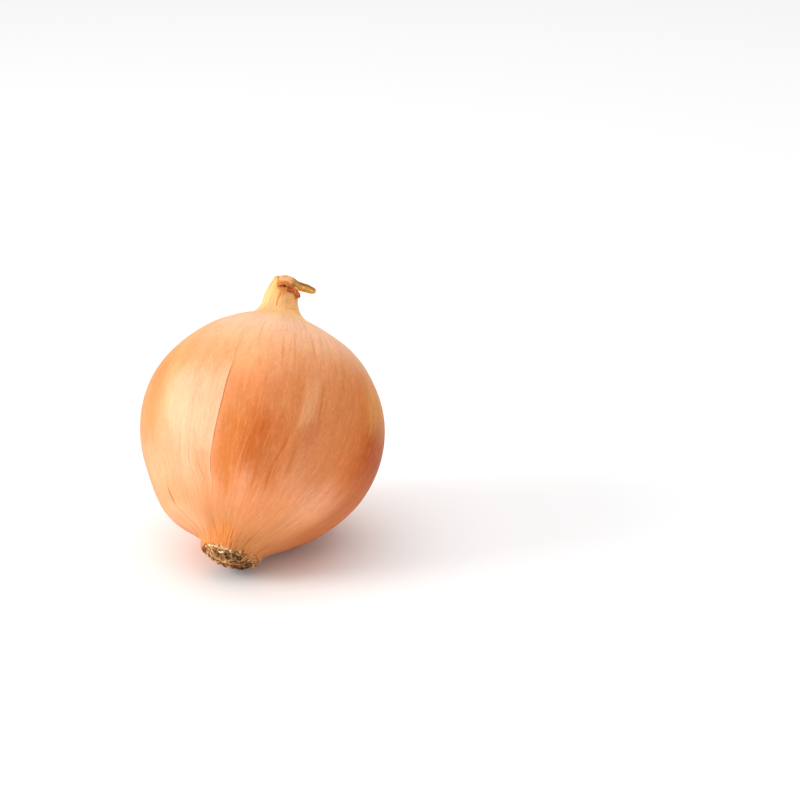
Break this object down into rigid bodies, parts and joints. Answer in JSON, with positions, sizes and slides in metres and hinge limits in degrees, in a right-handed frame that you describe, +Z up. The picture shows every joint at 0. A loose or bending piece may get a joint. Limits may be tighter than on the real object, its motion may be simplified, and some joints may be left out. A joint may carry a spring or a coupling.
{
  "type": "onion",
  "caption": "Whole brown onion lying on its belly, with papery ridged skin, a short pleated neck with dry leaf ends and a matted root tuft",
  "frame": {"origin": "The middle of the small flat spot of the belly that the onion rests on", "axes": "+Z is up from the surface, the root end is low towards -Y and the neck is high towards +Y"},
  "size_m": [0.0759, 0.077, 0.077],
  "materials": {
    "bulb": "dry papery skin, satin",
    "root_tuft": "dry, matt",
    "neck_tip": "dry leaf, matt",
    "dry_leaf": "dry leaf, satin"
  },
  "bodies": {
    "root": {"bulb": "bulb", "root_tuft": "root_tuft", "neck_tip": "neck_tip", "dry_leaf": "dry_leaf"}
  },
  "joints": []
}
